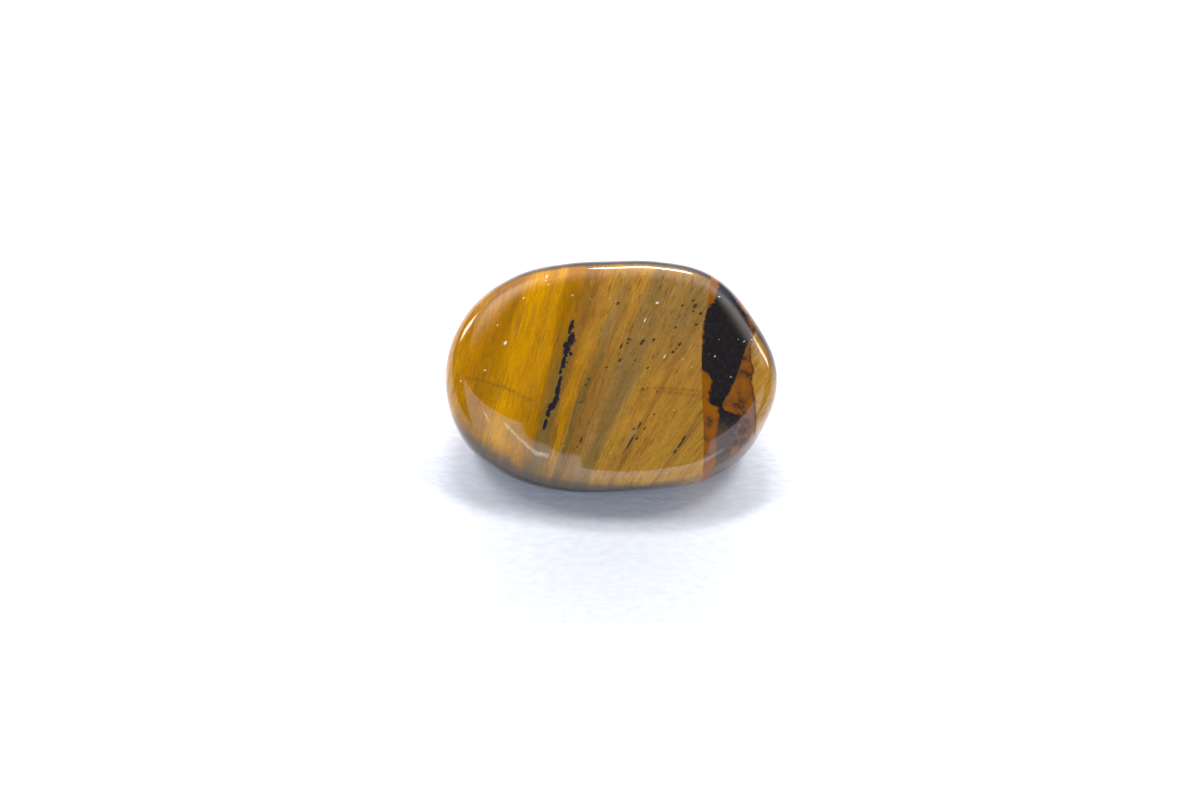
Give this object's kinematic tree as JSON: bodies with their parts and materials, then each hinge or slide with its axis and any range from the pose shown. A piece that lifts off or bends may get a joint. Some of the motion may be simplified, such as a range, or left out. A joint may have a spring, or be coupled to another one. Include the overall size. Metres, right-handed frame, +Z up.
{
  "type": "tumbled tiger's eye pebble",
  "caption": "Tumbled and polished tiger's eye pebble: a rounded wedge with one broad, slightly domed show face that leans back, resting on a flat of its underside.",
  "frame": {"origin": "middle of the bounding box's underside, on the surface that the stone rests on", "axes": "+X along the stone's length, +Y towards the rear that the show face leans back to, +Z up"},
  "size_m": [0.028, 0.0184, 0.0143],
  "materials": {
    "polished_stone": "tumble-polished, wet-looking gloss over silky golden fibres, with near-black and rust-brown patches"
  },
  "bodies": {
    "root": {"tigers_eye_pebble": "polished_stone"}
  },
  "joints": []
}
